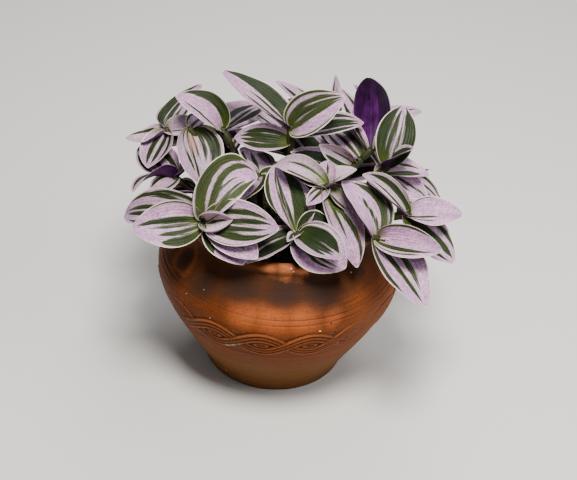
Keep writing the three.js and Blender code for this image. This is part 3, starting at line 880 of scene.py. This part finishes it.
def leafSurface(shape, base, u, v, phase):
    # Middle surface of a leaf: u runs from its left edge -1 to its right edge 1, v from base to tip.
    # The midrib is a cubic curve, each cross section an arc that cups towards the upper face, and the
    # half width follows v^waist (1 - v)^blunt. The midrib is sunk in a keel and the margins wave,
    # from a phase of their own on each side.
    finish = leafFinish
    heading, rise, roll = np.radians([shape["heading"], shape["rise"], shape["roll"]])
    line = direction(heading, rise)
    level = np.array([np.sin(heading), -np.cos(heading), 0.0])
    straight = np.cross(level, line)
    face = straight * np.cos(roll) + level * np.sin(roll)
    right = level * np.cos(roll) - straight * np.sin(roll)
    size = shape["length"]
    lift = shape["bow"] * size * face + shape["side"] * size * right
    end = base + line * size
    corners = [base, base + line * size / 3 + lift, base + line * size * 2 / 3 + lift, end]
    middle = bezier(*corners, v)
    step = 0.001
    tangent = unit(bezier(*corners, v + step) - bezier(*corners, v - step))
    across = unit(right - (tangent * right).sum(-1, keepdims=True) * tangent)
    up = np.cross(across, tangent)
    waist, blunt = finish["waist"], shape["blunt"]
    peak = waist / (waist + blunt)
    outline = v ** waist * (1 - v) ** blunt / (peak ** waist * (1 - peak) ** blunt)
    half = 0.5 * shape["width"] * outline + finish["footWidth"] * (1 - v) ** 8 + finish["leastWidth"]
    bend = shape["cup"] + shape["clasp"] * (1 - v) ** 3
    free = np.sin(np.pi * np.clip(v, 0, 1))
    keel = -finish["keel"] * free * np.exp(-(u / finish["keelWidth"]) ** 2)
    rightRipple = np.sin(2 * np.pi * finish["wavesRight"] * v + phase[0])
    leftRipple = np.sin(2 * np.pi * finish["wavesLeft"] * v + phase[1])
    ripple = np.where(u > 0, rightRipple, leftRipple) * u ** 4
    wave = finish["wave"] * min(1.0, size / finish["fullWaveLength"]) * free * ripple
    sideways = half * np.sin(bend * u) / bend
    upwards = half * (1 - np.cos(bend * u)) / bend + keel + wave
    return middle + across * sideways[..., None] + up * upwards[..., None]


def stripeField(shape, u, v, rng):
    # how far inside the nearest green band a point lies, in shares of the half leaf
    if shape["bands"]:
        bands = [np.array(band) / 100 for band in shape["bands"]]
    else:
        middles = np.linspace(-0.75, 0.75, rng.integers(3, 5)) + rng.uniform(-0.12, 0.12)
        bands = [
            (middle, rng.uniform(0.05, 0.2), rng.uniform(0.65, 0.97), rng.uniform(-0.1, 0.1))
            for middle in middles
        ]
    nearest = np.full(u.shape, -1.0)
    for middle, half, reach, *drift in bands:
        course = middle + (drift[0] if drift else 0.0) * v
        course = course + 0.02 * np.sin(5 * v + 9 * middle)
        taper = np.clip((reach - v) / 0.2, 0, 1) ** 0.5
        inside = half * taper * (1 + 0.4 * (1 - v) ** 5) - np.abs(u - course)
        inside = np.where(v > reach, inside - 0.5 * (v - reach), inside)
        nearest = np.maximum(nearest, inside)
    return nearest


# What each point of a stem, leaf or bud tells the materials, unless its shell says otherwise
plainFields = {
    "across": 0.0, "along": 0.5, "seed": 7.0, "stripe": 0.0, "pale": 0.0, "deep": 0.0, "scorch": 0.0,
    "fresh": 0.0,
}


def leafShell(shape, base, rng):
    # Ring by ring along the leaf: the upper skin from the left edge to the right, the lower one back.
    # The skins stand apart by the thickness, which thins to nothing at the margins.
    columns, rows, crowding = leafFinish["columns"], leafFinish["rows"], leafFinish["crowding"]
    ring = np.arange(2 * columns)
    turn = crowding + (1 - 2 * crowding) * np.where(ring <= columns, ring, 2 * columns - ring) / columns
    along = leafFinish["reach"] * (0.5 - 0.5 * np.cos(np.pi * np.linspace(0, 1, rows)))
    v, u = np.meshgrid(along, -np.cos(np.pi * turn) / np.cos(np.pi * crowding), indexing="ij")
    phase = rng.uniform(0, 2 * np.pi, 2)
    spots = leafSurface(shape, base, u, v, phase)
    beside = leafSurface(shape, base, u + 0.01, v, phase)
    ahead, behind = (
        leafSurface(shape, base, u, np.clip(v + step, 0, 1), phase) for step in (0.004, -0.004)
    )
    normal = unit(np.cross(beside - spots, ahead - behind))
    skin = np.sqrt(np.clip(1 - u ** 6, 0, 1)) * np.where(ring <= columns, 0.5, -0.5)
    skin[:, [0, columns]] = 0.0
    spots = spots + normal * (leafFinish["thickness"] * skin)[..., None]
    scorched = 0.0
    if shape["scorch"]:
        sideways, up, size = shape["scorch"]
        scorched = np.exp(-((u - sideways) / size) ** 2 - ((v - up) / size) ** 2)
    fields = {
        **plainFields, "across": u, "along": v, "seed": rng.uniform(0, 40),
        "stripe": stripeField(shape, u, v, rng), "pale": shape["pale"], "deep": shape["deep"],
        "scorch": scorched, "fresh": shape["fresh"] * (1 - v) ** 4,
    }
    return closedShell(spots, fields, np.where(ring < columns, 0, 1))


stemFinish = {
    "radius": 1.9,
    "sheath": 0.75,
    "sheathLength": 7.0,
    "rings": 60,
    "sides": 16,
    "below": 9.0,
    "tip": 2.4,
    "tipRings": 4,
}
budFinish = {"radius": 0.75, "rings": 14, "sides": 10}


def tube(line, first, second, radius, sides):
    # rings round a line: each point is line + radius x (first x cos(angle) + second x sin(angle))
    angle = turns(sides)[None, :, None]
    around = first[..., None, :] * np.cos(angle) + second[..., None, :] * np.sin(angle)
    return line[:, None] + radius[:, None, None] * around


def stemShell(stem, rng):
    # a tube round the stem's line, swollen into a sheath under each place where leaves grow
    count, tips = stemFinish["rings"], stemFinish["tipRings"]
    t = np.linspace(0, 1, count)
    line = stemLine(stem, t)
    tangent = unit(np.gradient(line, axis=0))
    root = line[:1] - (0, 0, stemFinish["below"])
    tip = line[-1:] + tangent[-1:] * np.linspace(0.4, 1, tips)[:, None] * stemFinish["tip"]
    line = np.concatenate([root, line, tip])
    tangent = unit(np.concatenate([tangent[:1], tangent, np.repeat(tangent[-1:], tips, 0)]))
    lengths = np.concatenate([[0], np.cumsum(np.linalg.norm(np.diff(line, axis=0), axis=1))])
    swell = np.zeros(len(line))
    for place in sorted({shape["at"] for shape in stem["leaves"]}):
        node = np.interp(place, t, lengths[1:count + 1])
        gone = (node - lengths) / stemFinish["sheathLength"]
        sheath = np.where((gone > -0.08) & (gone < 1), 1 - np.clip(gone, 0, 1) ** 2, 0)
        swell = np.maximum(swell, sheath)
    radius = stemFinish["radius"] + stemFinish["sheath"] * swell
    radius[-tips:] = radius[-tips - 1] * np.sqrt(1 - np.linspace(0.35, 0.98, tips) ** 2)
    first = unit(np.cross(tangent, np.array([1.0, 0.2, 0.0])))
    spots = tube(line, first, np.cross(tangent, first), radius, stemFinish["sides"])
    fields = {
        **plainFields, "across": np.linspace(-1, 1, stemFinish["sides"], endpoint=False),
        "along": lengths[:, None] / 50, "seed": rng.uniform(0, 40), "fresh": swell[:, None],
    }
    return closedShell(spots, fields, 2)


def budShell(base, heading, rise, length):
    # a slim pale bud: a straight tube whose radius follows half a sine wave
    way = direction(*np.radians([heading, rise]))
    side = unit(np.cross(way, (0.0, 0.0, 1.0)))
    t = np.linspace(0.03, 0.98, budFinish["rings"])
    radius = budFinish["radius"] * np.sin(np.pi * t ** 1.3)
    line = base + way * t[:, None] * length
    spots = tube(line, side, np.cross(way, side), radius, budFinish["sides"])
    return closedShell(spots, {**plainFields, "stripe": -1.0, "pale": 1.5})


leafPaints = {
    "lilacShade": (0.50, 0.275, 0.46), "lilac": (0.70, 0.42, 0.63),
    "mauveSpeck": (0.39, 0.215, 0.39), "pinkSpeck": (0.86, 0.50, 0.70),
    "streak": (0.33, 0.18, 0.32), "blueCloud": (0.50, 0.32, 0.52), "pinkCloud": (0.80, 0.43, 0.62),
    "hair": (0.66, 0.57, 0.60), "palest": (0.66, 0.58, 0.55), "deepest": (0.28, 0.17, 0.24),
    "base": (0.15, 0.21, 0.03), "halo": (0.60, 0.52, 0.52), "greenShade": (0.011, 0.021, 0.005),
    "green": (0.038, 0.054, 0.015), "greenHair": (0.075, 0.096, 0.040),
    "greenEdge": (0.044, 0.062, 0.020), "greenBase": (0.070, 0.105, 0.009),
    "greenPalest": (0.115, 0.135, 0.050), "deepGreenAndShade": (0.005, 0.012, 0.002),
    "fresh": (0.11, 0.18, 0.018), "pore": (0.30, 0.20, 0.26), "margin": (0.76, 0.70, 0.54),
    "scorch": (0.38, 0.18, 0.13),
}
undersidePaints = {
    "shade": (0.026, 0.002, 0.040), "purple": (0.085, 0.006, 0.115), "vein": (0.12, 0.03, 0.13),
    "band": (0.010, 0.004, 0.012), "palest": (0.34, 0.20, 0.31), "margin": (0.55, 0.42, 0.48),
}
stemPaints = {
    "shade": (0.012, 0.015, 0.004), "olive": (0.030, 0.030, 0.010),
    "redFleck": (0.036, 0.010, 0.020), "sheath": (0.042, 0.050, 0.012),
}


def leafGrain(tree, wide, long, detail, roughness):
    # noise drawn out along a leaf or stem: wide and long are how fast it changes across and along it,
    # and the seed gives each one its own
    across = times(field(tree, "across"), wide)
    along = times(field(tree, "along"), long)
    place = addNode(tree, "CombineXYZ", {"X": across, "Y": along, "Z": field(tree, "seed")})
    return grain(place.outputs[0], 1.0, detail, roughness)


def stripedMaterial():
    # green bands on lilac, with a cream margin; each band frays along the veins
    material, tree = newMaterial("stripedLeaf")
    paint = leafPaints
    place = objectPlace(tree)
    across, along, deep = field(tree, "across"), field(tree, "along"), field(tree, "deep")
    streaks = leafGrain(tree, 9.0, 1.6, 3.0, 0.6)
    veins = leafGrain(tree, 34.0, 2.2, 2.0, 0.5)
    hairs = leafGrain(tree, 60.0, 5.0, 2.0, 0.6)
    mottle = grain(place, 160.0, 3.0, 0.5)
    pores = grain(place, 1050.0, 2.0, 0.6)
    specks = grain(place, 620.0, 3.0, 0.7)
    ragged = aboutZero(streaks, 0.2)
    frayed = aboutZero(veins, 0.14)
    edge = plus(plus(field(tree, "stripe"), 0.018), plus(ragged, frayed))
    fromBase = maths("SUBTRACT", along, times(ragged, 0.6))
    lilac = coats(mixed(ease(veins, 0.36, 0.66), paint["lilacShade"], paint["lilac"]), paint, (
        (specks, 0.42, 0.62, 0.75, "mauveSpeck"),
        (specks, 0.5, 0.36, 0.7, "pinkSpeck"),
        (streaks, 0.6, 0.38, 0.5, "streak"),
        (mottle, 0.47, 0.67, 0.35, "blueCloud"),
        (mottle, 0.5, 0.32, 0.5, "pinkCloud"),
        (hairs, 0.6, 0.72, 0.15, "hair"),
        (field(tree, "pale"), 0.6, "palest"),
        # deep darkens the lilac: a deeper colour together with painted shade
        (deep, 0.6, "deepest"),
        (fromBase, 0.19, 0.03, 0.8, "base"),
        (edge, -0.1, -0.02, 0.4, "halo"),
    ))
    green = coats(mixed(ease(veins, 0.35, 0.7), paint["greenShade"], paint["green"]), paint, (
        (hairs, 0.56, 0.7, 0.6, "greenHair"),
        (edge, 0.07, 0.0, 0.6, "greenEdge"),
        (along, 0.3, 0.0, 0.75, "greenBase"),
        # deep below 0 lightens the greens; above 0 it darkens them, a deeper colour together with
        # painted shade
        (deep, -0.7, "greenPalest"),
        (deep, 0.6, "deepGreenAndShade"),
    ))
    colour = mixed(ease(edge, -0.022, 0.026), lilac, green)
    colour = mixed(field(tree, "fresh"), colour, paint["fresh"])
    colour = mixed(ease(pores, 0.46, 0.66, 0.0, 0.45), colour, paint["pore"], "MULTIPLY")
    margin = plus(maths("ABSOLUTE", across), times(streaks, 0.05))
    margin = maths("MAXIMUM", ease(margin, 0.965, 0.995), ease(along, 0.97, 0.99))
    colour = coats(colour, paint, (
        (margin, 0.85, "margin"),
        (field(tree, "scorch"), 0.1, 0.95, 0.6, "scorch"),
    ))
    ribs = maths("SINE", times(across, 44.0))
    height = plus(plus(times(ribs, 0.35), times(pores, 0.5)), times(veins, 0.5))
    roughness = ease(mottle, 0.3, 0.7, 0.46, 0.6)
    return finished(material, colour, roughness, height, (0.5, 0.0004), 0.14)


def purpleMaterial():
    # the underside: deep purple with faint ribs and a thin pale edge
    material, tree = newMaterial("purpleUnderside")
    paint = undersidePaints
    across = field(tree, "across")
    veins = leafGrain(tree, 26.0, 2.0, 2.0, 0.5)
    mottle = grain(objectPlace(tree), 130.0, 3.0, 0.5)
    colour = coats(mixed(ease(mottle, 0.35, 0.7), paint["shade"], paint["purple"]), paint, (
        (veins, 0.5, 0.75, 0.55, "vein"),
        (field(tree, "stripe"), 0.0, 0.06, 0.8, "band"),
        (field(tree, "pale"), 0.75, "palest"),
        (maths("ABSOLUTE", across), 0.95, 0.99, 0.8, "margin"),
    ))
    ribs = maths("SINE", times(across, 40.0))
    height = plus(times(ribs, 0.5), veins)
    roughness = ease(mottle, 0.3, 0.7, 0.4, 0.55)
    return finished(material, colour, roughness, height, (0.4, 0.0004), 0.22)


def stemMaterial():
    # dark olive lines with red flecks, greener on the sheaths
    material, tree = newMaterial("stemSkin")
    paint = stemPaints
    lines = leafGrain(tree, 9.0, 1.0, 3.0, 0.55)
    flecks = grain(objectPlace(tree), 500.0, 2.0, 0.5)
    colour = coats(mixed(ease(lines, 0.38, 0.64), paint["shade"], paint["olive"]), paint, (
        (flecks, 0.52, 0.66, 0.7, "redFleck"),
        (field(tree, "fresh"), 0.1, 0.6, 0.65, "sheath"),
    ))
    roughness = ease(flecks, 0.3, 0.7, 0.4, 0.55)
    return finished(material, colour, roughness, lines, (0.4, 0.0004), 0.15)


def makeStems():
    materials = [stripedMaterial(), purpleMaterial(), stemMaterial()]
    rng = np.random.default_rng(leafFinish["seed"])
    for place, stem in stems.items():
        shells = [stemShell(stem, rng)]
        shells += [budShell(np.array(stem["top"], float), *bud) for bud in stem["buds"]]
        for shape in stem["leaves"]:
            base = stemLine(stem, np.array(shape["at"]))
            # a stem's shade is painted shade, added to the deep of its leaves
            tones = {"deep": shape["deep"] + stem["shade"], "fresh": stem["fresh"]}
            shells.append(leafShell({**shape, **tones}, base, rng))
        piece = makePiece("leafyStem_" + place, shells, materials, 75)
        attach(piece, "root")
        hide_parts("stem_" + place)
    print("leafy stems made:", len(stems))


makeStems()
